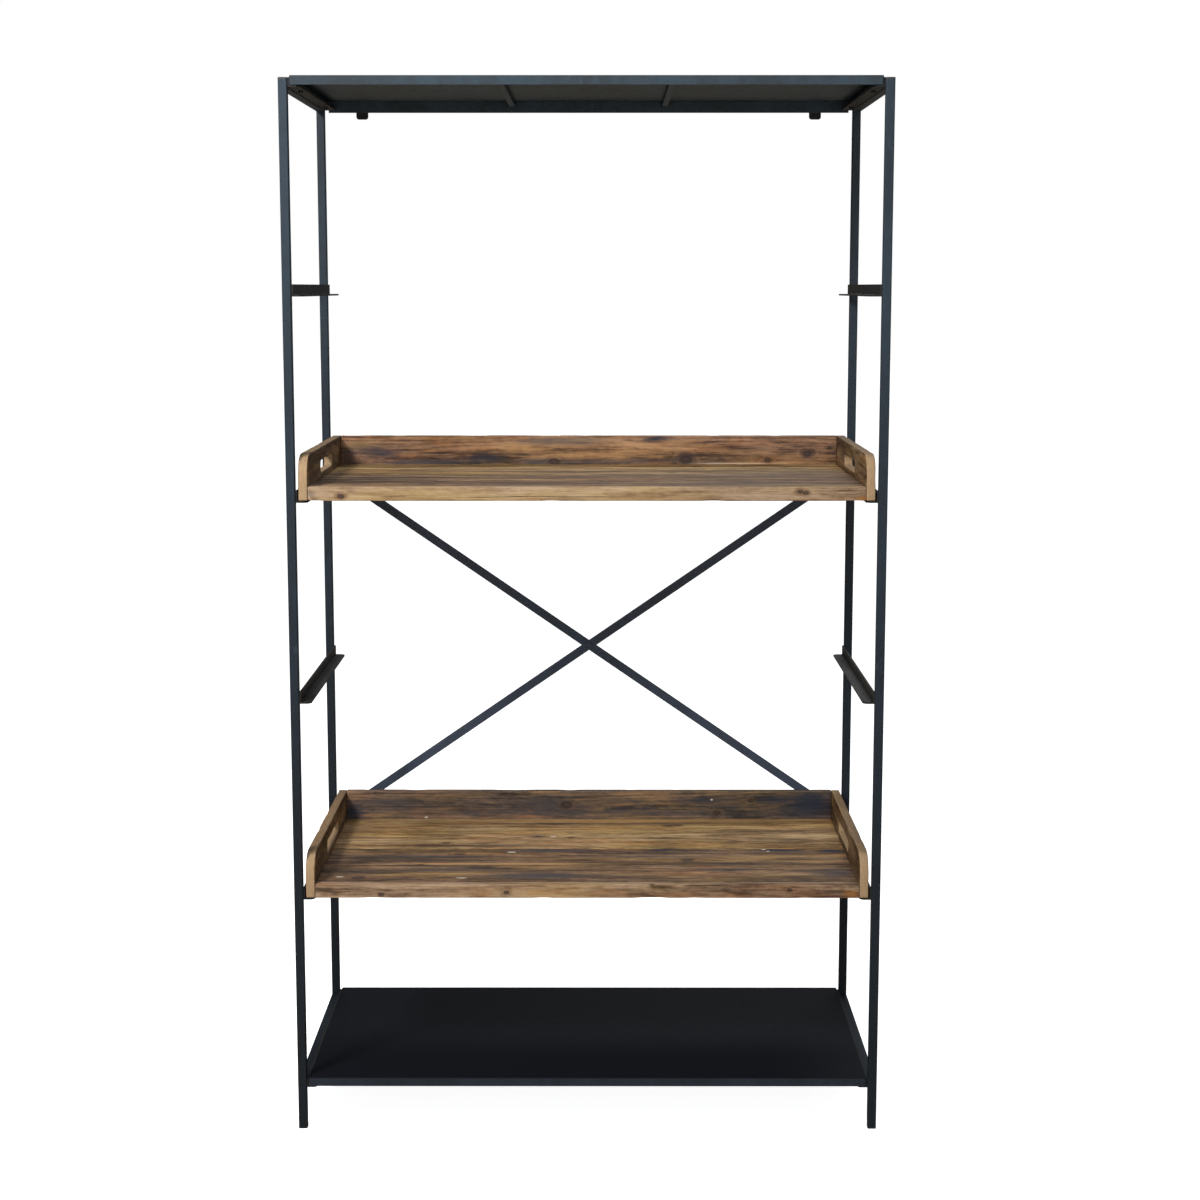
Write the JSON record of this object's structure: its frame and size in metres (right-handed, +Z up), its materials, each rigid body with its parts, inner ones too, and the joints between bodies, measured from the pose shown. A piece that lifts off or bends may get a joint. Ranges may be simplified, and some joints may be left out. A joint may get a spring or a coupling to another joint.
{
  "type": "open bookcase with adjustable tray shelves",
  "caption": "Tall open bookcase of dark square steel tube with an X brace at the back and wooden tray shelves that rest on angle brackets.",
  "frame": {"origin": "centre of the footprint, on the floor", "axes": "+X to the right seen from the front, +Y to the back, +Z up"},
  "size_m": [1, 0.5, 1.783],
  "materials": {
    "tube_steel": "satin",
    "panel_steel": "satin",
    "bracket_steel": "matt",
    "brace_steel": "satin",
    "upper_tray_wood": "oiled reclaimed pine",
    "lower_tray_wood": "oiled reclaimed pine",
    "zinc_screws": "dull zinc",
    "black_screws": "blackened",
    "black_plastic": "matt"
  },
  "bodies": {
    "frame": {"base_left_rib": "panel_steel", "base_panel": "panel_steel", "base_right_rib": "panel_steel", "base_screws": "black_screws", "brace_bar_falling": "brace_steel", "brace_bar_rising": "brace_steel", "brace_centre_rivet": "brace_steel", "brace_end_rivets": "brace_steel", "brace_washers": "brace_steel", "foot_inserts": "black_plastic", "front_left_upright": "tube_steel", "front_right_upright": "tube_steel", "left_angle_base": "bracket_steel", "left_angle_level_1": "bracket_steel", "left_angle_level_2": "bracket_steel", "left_angle_level_3": "bracket_steel", "left_angle_level_4": "bracket_steel", "left_angle_top": "bracket_steel", "left_bottom_rail": "tube_steel", "left_rear_lug": "bracket_steel", "left_top_rail": "tube_steel", "rear_left_upright": "tube_steel", "rear_right_upright": "tube_steel", "right_angle_base": "bracket_steel", "right_angle_level_1": "bracket_steel", "right_angle_level_2": "bracket_steel", "right_angle_level_3": "bracket_steel", "right_angle_level_4": "bracket_steel", "right_angle_top": "bracket_steel", "right_bottom_rail": "tube_steel", "right_rear_lug": "bracket_steel", "right_top_rail": "tube_steel", "top_left_rib": "panel_steel", "top_panel": "panel_steel", "top_right_rib": "panel_steel", "top_screws": "black_screws", "tube_caps": "black_plastic"},
    "upper_tray": {"upper_tray_back_board": "upper_tray_wood", "upper_tray_front_strip": "upper_tray_wood", "upper_tray_left_end": "upper_tray_wood", "upper_tray_plank_1": "upper_tray_wood", "upper_tray_plank_2": "upper_tray_wood", "upper_tray_plank_3": "upper_tray_wood", "upper_tray_plank_4": "upper_tray_wood", "upper_tray_right_end": "upper_tray_wood", "upper_tray_screws": "zinc_screws"},
    "lower_tray": {"lower_tray_back_board": "lower_tray_wood", "lower_tray_front_strip": "lower_tray_wood", "lower_tray_left_end": "lower_tray_wood", "lower_tray_plank_1": "lower_tray_wood", "lower_tray_plank_2": "lower_tray_wood", "lower_tray_plank_3": "lower_tray_wood", "lower_tray_plank_4": "lower_tray_wood", "lower_tray_right_end": "lower_tray_wood", "lower_tray_screws": "zinc_screws"}
  },
  "joints": [
    {"name": "upper_tray_slide", "type": "slide", "parent": "frame", "child": "upper_tray", "axis": [0, -1, 0], "range_m": [0, 0.52]},
    {"name": "lower_tray_slide", "type": "slide", "parent": "frame", "child": "lower_tray", "axis": [0, -1, 0], "range_m": [0, 0.52]}
  ]
}
